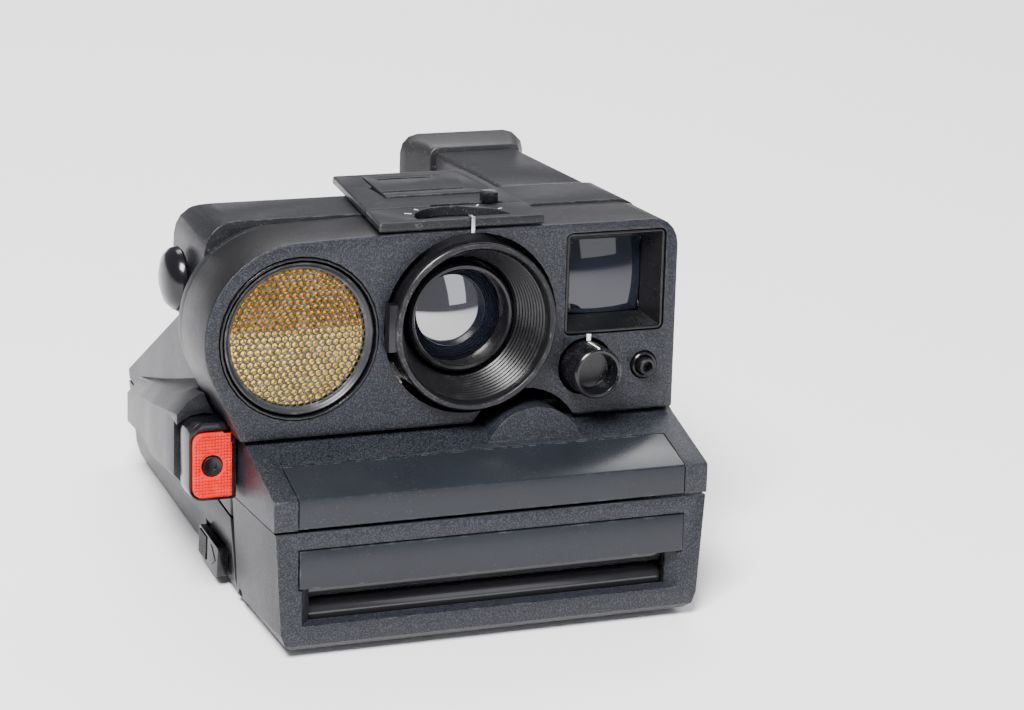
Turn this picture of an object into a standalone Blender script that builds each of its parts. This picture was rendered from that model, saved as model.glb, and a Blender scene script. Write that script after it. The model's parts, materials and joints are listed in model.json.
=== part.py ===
"""Instant film camera with a sonar rangefinder, modelled as an assembly.

Two frames are used.  The base frame has z = 0 on the flat underside.  The
front frame is the same frame leaned back by LEAN about X: the film door, the
deck, the front cover, the lens axis and the viewfinder all follow it.
All lengths below are millimetres; MM turns them into metres.
"""
import math

import bmesh
import bpy
from mathutils import Vector

for _o in list(bpy.data.objects):
    bpy.data.objects.remove(_o, do_unlink=True)

MM = 0.001

# ---------------------------------------------------------------- dimensions
LEAN = 7.0                  # lean of the whole front, degrees
LIFT = 2.5                  # height of the door's lower edge over the table
X_MID, Y_MID = -3.68, 71.0  # middle of the bounding box in the base frame
GAP = 0.35                  # clearance kept between neighbouring pieces

HALF_W = 56.0               # half width of the body
HALF_W_LOW = 54.5           # half width at the very bottom
WALL = 2.2                  # moulded wall thickness

DOOR_H = 29.3               # film door, height of its front
DOOR_D = 34.0               # film door, depth of its cheeks
HINGE_Y, HINGE_Z = 31.5, 4.4
SLOT_HALF, SLOT_LO, SLOT_HI = 50.0, 5.75, 15.5
PLATE_HALF, PLATE_HI = 50.35, 25.15
ROLL_R, ROLL_Y, ROLL_UP, ROLL_LO = 3.2, 7.4, 14.1, 7.4

LIP_HI = 37.45              # deck: top of the front lip
DECK_BACK_Y, DECK_BACK_Z = 23.5, 45.9
FACE_Y = 21.1               # front surface of the front cover
FACE_LO, FACE_HI = 46.3, 95.4
COVER_BACK = 41.1           # rear edge of the front cover
SONAR = (-43.4, 71.0)       # centre of the sonar transducer
SONAR_BULGE = 23.7          # radius of the cover around it
LENS = (0.64, 71.9)         # lens axis
LENS_HOLE = 22.7
RING_R, RING_FRONT = 21.0, 16.8
KNOB = (31.6, 58.8)
CELL = (47.5, 58.0)
VF_X0, VF_X1, VF_Z0, VF_Z1 = 25.5, 52.6, 66.8, 92.9
BOSS_X = 16.2                # middle of the half-round boss on the deck

SPLIT_Z = 21.2              # base frame height of the tray's rim
REAR_Y, REAR_Z = 127.7, 37.6    # upper rear edge of the wedge, front frame
STEP_Y, STEP_Z = 74.0, 67.5     # where the sloping back meets the top housing
HUMP_L, HUMP_TOP = -60.0, 95.4
TUBE_X0, TUBE_X1, TUBE_Z0, TUBE_Z1, TUBE_END = 27.5, 52.0, 70.0, 94.8, 118.0
EYE_X0, EYE_X1, EYE_Z0, EYE_Z1, EYE_BACK = 22.0, 57.6, 66.6, 97.7, 131.0
TOP_PLATE = 98.0            # upper face of the plates on the roof
SEG = 36

# ----------------------------------------------------------------- materials
_MATS = {}


def material(name, rgb, rough, metal=0.0, alpha=1.0):
    if name not in _MATS:
        m = bpy.data.materials.new(name)
        m.use_nodes = True
        b = m.node_tree.nodes["Principled BSDF"]
        b.inputs["Base Color"].default_value = (*rgb, 1.0)
        b.inputs["Roughness"].default_value = rough
        b.inputs["Metallic"].default_value = metal
        m.diffuse_color = (*rgb, alpha)
        _MATS[name] = m
    return _MATS[name]


SHELL = material("shell_plastic", (0.055, 0.057, 0.062), 0.45)
FACE = material("face_plastic", (0.045, 0.050, 0.062), 0.5)
GLOSS = material("gloss_black", (0.012, 0.012, 0.014), 0.12)
BLACK = material("inner_black", (0.010, 0.010, 0.011), 0.6)
RED = material("red_button", (0.72, 0.035, 0.02), 0.4)
GOLD = material("gold_foil", (0.83, 0.60, 0.20), 0.28, 1.0)
GRILLE = material("grille_metal", (0.13, 0.13, 0.14), 0.35, 1.0)
GLASS = material("optical_glass", (0.55, 0.60, 0.66), 0.03)
RUBBER = material("eyecup_rubber", (0.02, 0.02, 0.022), 0.7)
STEEL = material("roller_steel", (0.55, 0.55, 0.56), 0.25, 1.0)
BRASS = material("contact_brass", (0.72, 0.52, 0.22), 0.3, 1.0)
ALU = material("plate_aluminium", (0.6, 0.6, 0.62), 0.35, 1.0)
MIRROR = material("mirror_glass", (0.75, 0.78, 0.8), 0.02, 1.0)
CLEAR = material("clear_plastic", (0.5, 0.5, 0.52), 0.08)
NYLON = material("gear_nylon", (0.72, 0.70, 0.64), 0.45)

# -------------------------------------------------------------------- frames
BASE = bpy.data.objects.new("base_frame", None)
FRONT = bpy.data.objects.new("front_frame", None)
for _e in (BASE, FRONT):
    bpy.context.scene.collection.objects.link(_e)
BASE.location = (-X_MID * MM, -Y_MID * MM, 0.0)
FRONT.location = (-X_MID * MM, -Y_MID * MM, LIFT * MM)
FRONT.rotation_euler = (math.radians(-LEAN), 0.0, 0.0)


def split_line(y, height=SPLIT_Z):
    """Front frame height of a plane that lies `height` over the table."""
    a = math.radians(LEAN)
    return (height - LIFT + math.sin(a) * y) / math.cos(a)


# ------------------------------------------------------------------- helpers
def finish(name, bm, mat, parent=FRONT, pivot=(0, 0, 0), smooth=None):
    """Make an object from bm (millimetres, parent frame), origin at pivot."""
    bmesh.ops.remove_doubles(bm, verts=bm.verts, dist=1e-4)
    bmesh.ops.recalc_face_normals(bm, faces=bm.faces)
    if bm.calc_volume(signed=True) < 0:
        bmesh.ops.reverse_faces(bm, faces=bm.faces)
    p = Vector(pivot)
    for v in bm.verts:
        v.co = (v.co - p) * MM
    me = bpy.data.meshes.new(name)
    bm.to_mesh(me)
    bm.free()
    me.materials.append(mat)
    ob = bpy.data.objects.new(name, me)
    bpy.context.scene.collection.objects.link(ob)
    ob.parent = parent
    ob.location = p * MM
    if smooth is not None:
        me.shade_smooth()
        me.set_sharp_from_angle(angle=math.radians(smooth))
    return ob


def prism(outline, axis, a, b):
    """Extrude a closed outline from a to b along x, y or z."""
    bm = bmesh.new()
    put = {"x": lambda u, v, w: (w, u, v),
           "y": lambda u, v, w: (u, w, v),
           "z": lambda u, v, w: (u, v, w)}[axis]
    lo = [bm.verts.new(put(u, v, a)) for u, v in outline]
    hi = [bm.verts.new(put(u, v, b)) for u, v in outline]
    bm.faces.new(lo)
    bm.faces.new(list(reversed(hi)))
    n = len(outline)
    for i in range(n):
        j = (i + 1) % n
        bm.faces.new((lo[j], lo[i], hi[i], hi[j]))
    bmesh.ops.recalc_face_normals(bm, faces=bm.faces)
    return bm


def box(x0, x1, y0, y1, z0, z1):
    return prism([(x0, y0), (x1, y0), (x1, y1), (x0, y1)], "z", z0, z1)


def loft(sections):
    """Closed skin through equal-length point loops, capped at both ends."""
    bm = bmesh.new()
    rings = [[bm.verts.new(p) for p in s] for s in sections]
    n = len(rings[0])
    bm.faces.new(rings[0])
    bm.faces.new(list(reversed(rings[-1])))
    for r, s in zip(rings, rings[1:]):
        for i in range(n):
            j = (i + 1) % n
            bm.faces.new((r[j], r[i], s[i], s[j]))
    bmesh.ops.recalc_face_normals(bm, faces=bm.faces)
    return bm


def rounded(points, radii, seg=4):
    """Polygon with its corners replaced by arcs of the given radii."""
    out = []
    n = len(points)
    if not hasattr(radii, "__len__"):
        radii = [radii] * n
    for i in range(n):
        p = Vector(points[i])
        r = radii[i]
        if r <= 0:
            out.append(tuple(p))
            continue
        a = (Vector(points[i - 1]) - p).normalized()
        b = (Vector(points[(i + 1) % n]) - p).normalized()
        half = a.angle(b) / 2
        t = r / math.tan(half)
        c = p + (a + b).normalized() * (r / math.sin(half))
        s0 = p + a * t - c
        s1 = p + b * t - c
        sweep = s0.angle(s1)
        turn = 1 if s0.x * s1.y - s0.y * s1.x > 0 else -1
        for k in range(seg + 1):
            g = turn * sweep * k / seg
            out.append((c.x + s0.x * math.cos(g) - s0.y * math.sin(g),
                        c.y + s0.x * math.sin(g) + s0.y * math.cos(g)))
    return out


def lathe(profile, axis, centre, seg=SEG, phase=0.0):
    """Turn a closed (radius, along) profile round an axis through centre."""
    bm = bmesh.new()
    cols = []
    for k in range(seg):
        g = 2 * math.pi * (k + phase) / seg
        c, s = math.cos(g), math.sin(g)
        col = []
        for r, a in profile:
            if axis == "y":
                p = (centre[0] + r * c, a, centre[1] + r * s)
            elif axis == "x":
                p = (a, centre[0] + r * c, centre[1] + r * s)
            else:
                p = (centre[0] + r * c, centre[1] + r * s, a)
            col.append(bm.verts.new(p))
        cols.append(col)
    n = len(profile)
    for k in range(seg):
        c0, c1 = cols[k], cols[(k + 1) % seg]
        for i in range(n):
            j = (i + 1) % n
            if profile[i][0] < 1e-6 and profile[j][0] < 1e-6:
                continue
            loop = [c0[i], c0[j], c1[j], c1[i]]
            if profile[i][0] < 1e-6:
                loop = [c0[i], c0[j], c1[j]]
            elif profile[j][0] < 1e-6:
                loop = [c0[i], c0[j], c1[i]]
            bm.faces.new(loop)
    bmesh.ops.remove_doubles(bm, verts=bm.verts, dist=1e-5)
    bmesh.ops.recalc_face_normals(bm, faces=bm.faces)
    return bm


def disc(cx, cz, r, n=SEG, a0=0.0, a1=360.0, close=False):
    """Points of an arc in the x-z plane, angles in degrees."""
    k = n if a1 - a0 >= 360.0 and not close else n + 1
    return [(cx + r * math.cos(math.radians(a0 + (a1 - a0) * i / n)),
             cz + r * math.sin(math.radians(a0 + (a1 - a0) * i / n)))
            for i in range(k)]


def face_outline(inset=0.0):
    """Front cover seen from the front, anticlockwise in x-z, inset evenly."""
    d = inset
    pts = disc(49.0, FACE_HI - 7.0, 7.0 - d, 5, 0.0, 90.0)
    pts.append((-18.0, FACE_HI - d))
    pts.append((-31.0, FACE_HI - 0.25 - d))
    pts += disc(SONAR[0], SONAR[1], SONAR_BULGE - d, 15, 90.0, 204.0, True)
    pts.append((-58.0 + 1.07 * d, FACE_LO + d))
    pts.append((56.0 - d, FACE_LO + d))
    return pts


_cuts = [0]


def cut(ob, bm, parent=FRONT, op="DIFFERENCE"):
    """Boolean an object with a hidden tool."""
    _cuts[0] += 1
    tool = finish("tool_%03d" % _cuts[0], bm, BLACK, parent)
    tool.hide_render = True
    tool.display_type = "WIRE"
    m = ob.modifiers.new("bool_%03d" % _cuts[0], "BOOLEAN")
    m.operation = op
    m.solver = "EXACT"
    m.object = tool
    return ob


def bevel(ob, width, seg=2, angle=40.0):
    m = ob.modifiers.new("edge_round", "BEVEL")
    m.width = width * MM
    m.segments = seg
    m.limit_method = "ANGLE"
    m.angle_limit = math.radians(angle)
    return ob


def gear(cx, cz, a, b, root, tip, teeth, axis, phase=0.0, bore=0.0):
    """Toothed wheel between a and b along its axis."""
    pts = []
    for i in range(teeth):
        for f, r in ((-0.30, root), (-0.13, tip), (0.13, tip), (0.30, root)):
            g = 2 * math.pi * (i + f + phase) / teeth
            pts.append((cx + r * math.cos(g), cz + r * math.sin(g)))
    return prism(pts, axis, a, b)


# ============================================================ lower body
# Base tray: floor, cheeks and rear wall of the film chamber.
tray = finish("base_tray", loft([
    [(sx * hw, y, z) for sx, hw, y, z in (
        (-1, wl, y0, z0), (1, wl, y0, z0), (1, wl, y1, z0), (-1, wl, y1, z0))]
    for wl, y0, y1, z0 in (
        (HALF_W_LOW - 2.6, 35.6, 121.2, 0.0),
        (HALF_W_LOW - 0.5, 35.75, 123.8, 2.3),
        (HALF_W_LOW + 0.1, 36.1, 125.7, 5.0),
        (HALF_W, 38.0, 130.2, SPLIT_Z))]), SHELL, BASE)
cut(tray, loft([
    [(-x, y0, z), (x, y0, z), (x, y1, z), (-x, y1, z)]
    for x, y0, y1, z in ((HALF_W_LOW - 3.0, 30.0, 120.6, 2.4),
                         (HALF_W - WALL, 30.0, 127.4, SPLIT_Z + 3))]), BASE)
# Pocket of the sliding door latch and the slot its stem runs in.
cut(tray, box(-60.0, -54.2, 38.6, 60.0, 2.6, 11.2), BASE)
cut(tray, box(-58.0, -48.0, 46.6, 56.0, 5.4, 8.4), BASE)
# Frame counter window in the rear wall.
cut(tray, box(26.0, 36.0, 120.0, 132.0, 10.0, 17.0), BASE)

# Film gate: the frame over the film chamber, open above the picture.
gate = finish("film_gate", box(-53.2, 53.2, 41.6, 123.6, 22.2, 23.8),
              BLACK, BASE)
cut(gate, box(-40.0, 40.0, 46.0, 119.6, 20.0, 26.0), BASE)

# Battery contacts that press on the underside of the film pack.
for n, x in (("left", -14.0), ("right", 14.0)):
    c = finish("battery_contact_" + n, loft([
        [(x - 2.5, y, z), (x + 2.5, y, z),
         (x + 2.5, y, z + 0.5), (x - 2.5, y, z + 0.5)]
        for y, z in ((46.0, 2.75), (52.0, 2.75), (58.0, 4.6), (63.0, 4.9),
                     (66.0, 3.6))]), BRASS, BASE)

# Frame counter: clear window and the numbered dial behind it.
finish("counter_window", box(26.4, 35.6, 126.9, 127.9, 10.4, 16.6),
       CLEAR, BASE)
finish("counter_dial", lathe([(0, 118.4), (8.4, 118.4), (8.4, 119.8),
                              (0, 119.8)], "y", (31.0, 12.2), 24),
       NYLON, BASE, pivot=(31.0, 119.0, 12.2), smooth=35)

# Body shell: cheeks, chamber walls and the sloping back above the tray.
shell_side = [(35.2, split_line(35.2) + GAP), (35.2, DECK_BACK_Z),
              (45.1, DECK_BACK_Z), (45.1, STEP_Z), (STEP_Y, STEP_Z),
              (REAR_Y, REAR_Z), (126.9, split_line(126.9) + GAP)]
body = finish("body_shell", prism(shell_side, "x", -HALF_W, HALF_W), SHELL)
inner_side = [(37.6, 10.0), (37.6, 43.6), (47.6, 43.6), (47.6, 80.0),
              (STEP_Y - 2.6, 80.0), (STEP_Y - 2.6, STEP_Z - 1.6),
              (REAR_Y - 3.0, REAR_Z - 2.4), (124.6, 20.0)]
cut(body, prism(inner_side, "x", -HALF_W + WALL, HALF_W - WALL))
# Mouth of the film chamber and the light passage from the shutter.
cut(body, box(-52.0, 52.0, 30.0, 40.0, 10.0, 29.4))
cut(body, box(-28.0, 52.0, 40.0, 50.0, 47.6, 80.0))

# Mirror lying under the sloping back.
SLOPE = math.atan2(STEP_Z - REAR_Z, REAR_Y - STEP_Y)
_s, _c = math.sin(SLOPE), math.cos(SLOPE)


def on_slope(along, depth):
    """Point (y, z) down the sloping back from its top, and below it."""
    return (STEP_Y + along * _c - depth * _s, STEP_Z - along * _s - depth * _c)


mir = finish("mirror", loft([
    [(-w, *on_slope(s, 3.2)), (w, *on_slope(s, 3.2)),
     (w, *on_slope(s, 5.0)), (-w, *on_slope(s, 5.0))]
    for s, w in ((5.0, 34.0), (35.0, 42.8))]), MIRROR)
# Side grip under the sonar bulge, growing towards the shutter button.
GRIP_FRONT, GRIP_BACK, GRIP_X = 35.0, 115.0, -69.8
grip = finish("hand_grip", loft([
    [(-HALF_W - GAP, y, lo - 2.5), (-HALF_W - GAP, y, hi_in),
     (xo + 3.4, y, hi_out + 2.2), (xo, y, hi_out - 1.4), (xo, y, lo + 1.2),
     (xo + 1.6, y, lo - 0.6)]
    for y, xo, lo, hi_out, hi_in in (
        (GRIP_FRONT, GRIP_X, 33.6, 52.0, 59.0),
        (48.0, GRIP_X + 0.9, 32.4, 49.8, 55.6),
        (66.0, -67.4, 30.6, 46.6, 50.8),
        (90.0, -62.6, 28.0, 41.2, 44.4),
        (GRIP_BACK, -59.8, 25.4, 35.8, 38.6))]), SHELL)
cut(grip, prism(disc(-63.2, 40.4, 10.2, 20), "y", 30.0, 38.4))
cut(grip, prism(face_outline(-GAP - 0.2), "y", 20.0, 45.1))

# ============================================================ shutter button
pod = finish("button_pod", prism(rounded(
    [(-57.1, 30.6), (-57.1, 50.1), (-69.0, 50.1), (-69.0, 30.6)],
    [0.8, 1.2, 3.6, 3.4], 4), "y", 27.6, 34.6), GLOSS)
cut(pod, prism(rounded([(-58.0, 31.1), (-58.0, 48.0), (-68.5, 48.0),
                        (-68.5, 31.1)], [0.4, 0.4, 2.6, 2.6], 4),
               "y", 20.0, 32.4))
cut(pod, lathe([(0, 30), (1.9, 30), (1.9, 36), (0, 36)], "y",
               (-63.3, 39.4), 16))
btn_axis = (-63.3, 39.4)
cut(pod, prism(face_outline(-GAP), "y", 20.0, 41.4))
btn = finish("shutter_button", prism(rounded(
    [(-58.35, 31.45), (-58.35, 47.65), (-68.15, 47.65), (-68.15, 31.45)],
    [0.3, 0.3, 2.4, 2.4], 4), "y", 27.0, 30.0), RED,
    pivot=(btn_axis[0], 27.0, btn_axis[1]))
cut(btn, lathe([(0, 20), (2.75, 20), (2.75, 28.6), (0, 28.6)], "y",
               btn_axis, 20))
cut(btn, prism(face_outline(-GAP - 0.9), "y", 20.0, 41.4))
finish("release_socket", lathe(
    [(1.2, 27.1), (2.4, 26.8), (2.4, 28.25), (0, 28.25), (0, 27.9),
     (1.2, 27.9)], "y", btn_axis, 20), BLACK,
    pivot=(btn_axis[0], 27.0, btn_axis[1]), smooth=35)
# ============================================================ film door
DOOR_PIVOT = (0.0, HINGE_Y, HINGE_Z)
door_ring = []
for z, hw in ((0.0, HALF_W_LOW - 3.0), (1.2, HALF_W_LOW - 1.1),
              (4.0, HALF_W_LOW), (DOOR_H, HALF_W)):
    back = DOOR_D
    y0 = 1.0 if z == 0.0 else 0.0
    zb = max(z, 2.4 + z * 0.35) if z < 4.0 else z
    door_ring.append([(-hw, y0, z), (hw, y0, z), (hw, back, zb),
                      (-hw, back, zb)])
door = finish("film_door", loft(door_ring), FACE, pivot=DOOR_PIVOT)
cut(door, loft([[(-x, y0, z0), (x, y0, z0), (x, 40.0, z1), (-x, 40.0, z1)]
                for x, y0, z0, z1 in ((HALF_W_LOW - 3.4, 3.0, 2.5, 4.8),
                                      (HALF_W - WALL, 2.4, DOOR_H + 2,
                                       DOOR_H + 2))]))
# Film exit with slanting reveals, and the shallow seat of the panel above it.
cut(door, loft([[(-SLOT_HALF + d, y, SLOT_LO + d * 0.25),
                 (SLOT_HALF - d, y, SLOT_LO + d * 0.25),
                 (SLOT_HALF - d, y, SLOT_HI), (-SLOT_HALF + d, y, SLOT_HI)]
                for d, y in ((0.0, -1.0), (0.8, 0.3), (3.2, 2.6), (3.2, 4.2))]))
cut(door, box(-PLATE_HALF, PLATE_HALF, -2.0, 0.8, SLOT_HI - 0.5, PLATE_HI))
# Holes for the hinge pin.
cut(door, lathe([(0, -60), (1.35, -60), (1.35, 60), (0, 60)], "x",
                (HINGE_Y, HINGE_Z), 16))
finish("door_panel", box(-PLATE_HALF + 0.3, PLATE_HALF - 0.3, -0.45, 0.45,
                         SLOT_HI - 0.1, PLATE_HI - 0.3), GLOSS,
       pivot=DOOR_PIVOT)
for n, x in (("left", -1), ("right", 1)):
    br = finish("roller_bracket_" + n, prism(rounded(
        [(3.4, 4.6), (12.6, 5.2), (12.6, 20.4), (3.4, 20.4)], 1.4, 2), "x",
        x * 47.0, x * 48.4), STEEL, pivot=DOOR_PIVOT)
    for z in (ROLL_UP, ROLL_LO):
        cut(br, lathe([(0, 40 * x), (1.75, 40 * x), (1.75, 56 * x),
                       (0, 56 * x)], "x", (ROLL_Y, z), 16))
finish("hinge_pin", lathe([(0, -53.6), (1.0, -53.6), (1.0, 53.6), (0, 53.6)],
                          "x", (HINGE_Y, HINGE_Z), 16), STEEL, smooth=35)
for n, z, sg in (("upper", ROLL_UP, 1), ("lower", ROLL_LO, -1)):
    piv = (0.0, ROLL_Y, z)
    finish("roller_" + n, lathe(
        [(0, -49.8), (1.4, -49.8), (1.4, -46.5), (ROLL_R, -46.2),
         (ROLL_R, 46.2), (1.4, 46.5), (1.4, 49.0), (0, 49.0)], "x",
        (ROLL_Y, z), 24), STEEL, pivot=piv, smooth=35)
    finish("roller_gear_" + n, gear(ROLL_Y, z, 49.35, 50.8, 2.5, 3.15, 12,
                                    "x", 0.0 if sg > 0 else 0.5), NYLON,
           pivot=piv)

# Latch that slides forward to free the door.
LATCH = (-55.0, 50.0, 6.9)
latch = finish("door_latch", prism(rounded(
    [(42.4, 3.0), (58.2, 3.0), (58.2, 10.8), (42.4, 10.8)], 0.6, 2), "x",
    -57.4, -54.6), GLOSS, BASE, pivot=LATCH)
cut(latch, prism([(50.0, 5.7), (54.6, 5.7), (54.6, 8.1), (50.0, 8.1)], "x",
                 -55.0, -50.6), BASE, op="UNION")

# ============================================================ deck
deck_side = [(0.2, DOOR_H + 0.6), (0.2, LIP_HI - 0.5), (0.7, LIP_HI),
             (DECK_BACK_Y - 1.6, DECK_BACK_Z - 0.9),
             (DECK_BACK_Y, DECK_BACK_Z - 0.1), (34.8, DECK_BACK_Z - 0.1),
             (34.8, DOOR_H + 0.6)]
deck = finish("deck", prism(deck_side, "x", -HALF_W - 0.4, HALF_W + 0.4), FACE)
deck_in = [(2.4, 20.0), (2.4, LIP_HI - 2.2), (DECK_BACK_Y - 1.2, 42.6),
           (32.6, 42.6), (32.6, 36.0), (45.0, 36.0), (45.0, 20.0)]
cut(deck, prism(deck_in, "x", -HALF_W + 1.8, HALF_W - 1.8))
# Seat of the bare label plate, which wraps over the lip.
LABEL_HALF = 50.4
cut(deck, prism([(-3.0, DOOR_H - 1), (-3.0, 50.0), (13.6, 50.0),
                 (13.6, 41.75 - 0.55), (0.9, LIP_HI - 0.75),
                 (0.75, LIP_HI - 1.1), (0.75, DOOR_H - 1)], "x",
                -LABEL_HALF, LABEL_HALF))
finish("label_plate", prism(
    [(0.05, DOOR_H + 0.9), (0.05, LIP_HI - 0.2), (0.5, LIP_HI + 0.15),
     (13.2, 41.75 + 0.1), (13.2, 41.75 - 0.42), (1.02, LIP_HI - 0.36),
     (0.45, LIP_HI - 0.75), (0.45, DOOR_H + 0.9)], "x",
    -LABEL_HALF + 0.3, LABEL_HALF - 0.3), GLOSS)

# Half-round boss rising from the deck into the notch of the front cover.


def segment(cx, chord_z, half, rise, steps=16, sink=0.0):
    """Circular segment in x-z standing on a chord, sunk below it by sink."""
    r = (half * half + rise * rise) / (2 * rise)
    zc = chord_z + rise - r
    a = math.acos(max(-1.0, (chord_z - sink - zc) / r))
    return [(cx + r * math.sin(-a + 2 * a * i / steps),
             zc + r * math.cos(-a + 2 * a * i / steps))
            for i in range(steps + 1)]


cut(deck, prism(segment(BOSS_X, 42.5, 12.4, 8.3, 16, 1.6), "y", 15.6, 27.0),
    op="UNION")

# ============================================================ front cover
cover = finish("front_cover", prism(face_outline(), "y", FACE_Y, COVER_BACK),
               FACE)
bevel(cover, 0.7, 2, 50.0)
cut(cover, prism(face_outline(2.0), "y",
                 FACE_Y + 2.3, COVER_BACK + 3))
# Notch over the boss; the lens opening breaks into its edge.
cut(cover, prism(segment(15.2, FACE_LO, 13.7, 8.1, 16, 4.0), "y", 15, 30))
cut(cover, prism(disc(*LENS, LENS_HOLE, 40), "y", 10, 30))
cut(cover, prism(disc(*SONAR, 20.3, 36), "y", 10, 30))
cut(cover, prism(rounded([(VF_X0, VF_Z0), (VF_X1, VF_Z0), (VF_X1, VF_Z1),
                          (VF_X0, VF_Z1)], 1.6, 3), "y", 10, 30))
cut(cover, prism(disc(*KNOB, 7.4, 28), "y", 10, 30))
cut(cover, prism(disc(*CELL, 3.7, 20), "y", 10, 30))
# Half-round window in the roof over the focusing ring.
WIN_X, WIN_Y, WIN_R = -0.5, 24.3, 12.2
half_round = [(WIN_X + WIN_R * math.cos(math.pi * i / 16),
               WIN_Y + WIN_R * math.sin(math.pi * i / 16)) for i in range(17)]
cut(cover, prism(half_round, "z", 90.0, 99.0))
# Slot under the focus switch.
cut(cover, box(-4.0, 15.0, 37.0, 39.2, 90.0, 99.0))

# Bulkhead that carries the optics.
bulk = finish("bulkhead", prism(face_outline(0.5), "y",
                                COVER_BACK + 0.4, 44.7), SHELL)
cut(bulk, prism(disc(*LENS, 13.2, 32), "y", 30, 60))
cut(bulk, box(29.0, 51.0, 30.0, 60.0, 70.0, 90.0))
cut(bulk, box(-4.4, 15.4, 30.0, 60.0, 94.2, 99.0))

# Top housing behind the bulkhead.
hump_side = [(45.1, STEP_Z + GAP), (45.1, HUMP_TOP), (66.6, HUMP_TOP),
             (69.2, 94.4), (70.4, 92.0), (STEP_Y - 0.1, STEP_Z + GAP)]
hump = finish("top_housing", prism(hump_side, "x", HUMP_L, HALF_W), SHELL)
# round the long upper edges on both sides
for sx, x, r in ((-1, HUMP_L, 8.0), (1, HALF_W, 6.0)):
    corner = [(x + sx * 2, HUMP_TOP - r), (x, HUMP_TOP - r)]
    for i in range(1, 6):
        g = math.radians(90.0 * i / 5)
        corner.append((x - sx * r * (1 - math.cos(g)) , HUMP_TOP - r
                       + r * math.sin(g)))
    corner += [(x - sx * r, HUMP_TOP + 3), (x + sx * 2, HUMP_TOP + 3)]
    cut(hump, prism(corner, "y", 40, 80))
cut(hump, prism([(40.0, 60.0), (40.0, HUMP_TOP - 2.2), (66.0, HUMP_TOP - 2.2),
                 (68.0, 91.4), (STEP_Y - 2.9, 70.0), (STEP_Y - 2.9, 60.0)],
                "x", HUMP_L + 10.4, HALF_W - 4.4))
cut(hump, box(30.0, 49.5, 60.0, 80.0, 73.0, 91.0))
# Seat of the flash socket block in the roof.
cut(hump, box(-12.6, 18.6, 48.4, 64.6, 90.0, 99.0))

# ============================================================ roof plates
front_plate = finish("focus_window_plate", prism(
    [(-23.6, 21.2), (19.4, 21.2), (20.6, 37.3), (-21.3, 37.3)], "z",
    FACE_HI + GAP, TOP_PLATE), SHELL)
bevel(front_plate, 0.4, 1, 50.0)
cut(front_plate, prism(half_round, "z", 90.0, 99.0))
flash = finish("flash_base", prism(
    [(-21.2, 37.7), (20.6, 37.7), (20.9, 66.0), (20.6, 79.0),
     (-15.4, 79.0), (-17.1, 66.0)], "z", FACE_HI + GAP, TOP_PLATE), SHELL)
bevel(flash, 0.4, 1, 50.0)
cut(flash, box(-4.0, 15.0, 37.2, 39.0, 90.0, 99.0))
cut(flash, prism([(-11.9, 49.2), (17.9, 49.2), (16.9, 75.2), (-9.0, 75.2)],
                 "z", 96.6, 99.0))
cut(flash, box(-11.5, 17.5, 49.6, 63.4, 90.0, 99.0))
cover2 = finish("socket_cover", prism(
    [(-11.5, 49.6), (17.5, 49.6), (16.5, 74.8), (-8.7, 74.8)], "z",
    96.95, TOP_PLATE + 0.35), SHELL)
cut(cover2, box(-10.6, 11.6, 54.2, 55.8, 90.0, 100.0))
cut(cover2, box(-6.2, 8.8, 69.4, 71.0, 97.4, 100.0))
finish("flash_socket", prism([(-11.2, 49.9), (17.2, 49.9), (17.2, 63.1),
                              (-11.2, 63.1)], "z", 90.6, 96.6), BLACK)
# Switch between automatic and hand focusing.
switch = finish("focus_switch", prism(rounded(
    [(9.6, 35.9), (13.2, 35.9), (13.2, 40.3), (9.6, 40.3)], 0.6, 2), "z",
    TOP_PLATE + 0.3, TOP_PLATE + 2.9), GLOSS, pivot=(11.4, 38.1, TOP_PLATE))
cut(switch, box(10.3, 12.5, 37.55, 38.65, 94.8, TOP_PLATE + 0.8), op="UNION")
# Index hook over the edge of the lens opening.
finish("focus_index", prism([(20.35, 94.6), (20.75, 94.6), (20.75, 98.35),
                             (22.6, 98.35), (22.6, 98.7), (20.35, 98.7)],
                            "x", -0.1, 0.8), ALU)

# ============================================================ sonar
housing = finish("sonar_housing", lathe(
    [(19.45, 20.7), (20.0, 20.7), (20.0, 25.0), (19.0, 29.0), (19.0, 31.6),
     (0, 31.6), (0, 29.8), (18.4, 29.8), (18.4, 24.0), (19.45, 22.6)], "y",
    SONAR, SEG), GLOSS, smooth=35)
finish("sonar_backplate", lathe([(0, 24.6), (17.9, 24.6), (17.9, 28.6),
                                 (0, 28.6)], "y", SONAR, SEG), ALU, smooth=35)
finish("sonar_foil", lathe([(0, 23.7), (17.9, 23.7), (17.9, 24.2),
                            (0, 24.2)], "y", SONAR, SEG), GOLD, smooth=35)
finish("sonar_grille", lathe([(0, 22.0), (17.8, 22.0), (18.3, 21.2),
                              (19.1, 21.2), (19.1, 22.2), (18.0, 23.3),
                              (17.9, 22.8), (0, 22.8)], "y", SONAR, SEG),
       GRILLE, smooth=35)
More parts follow.
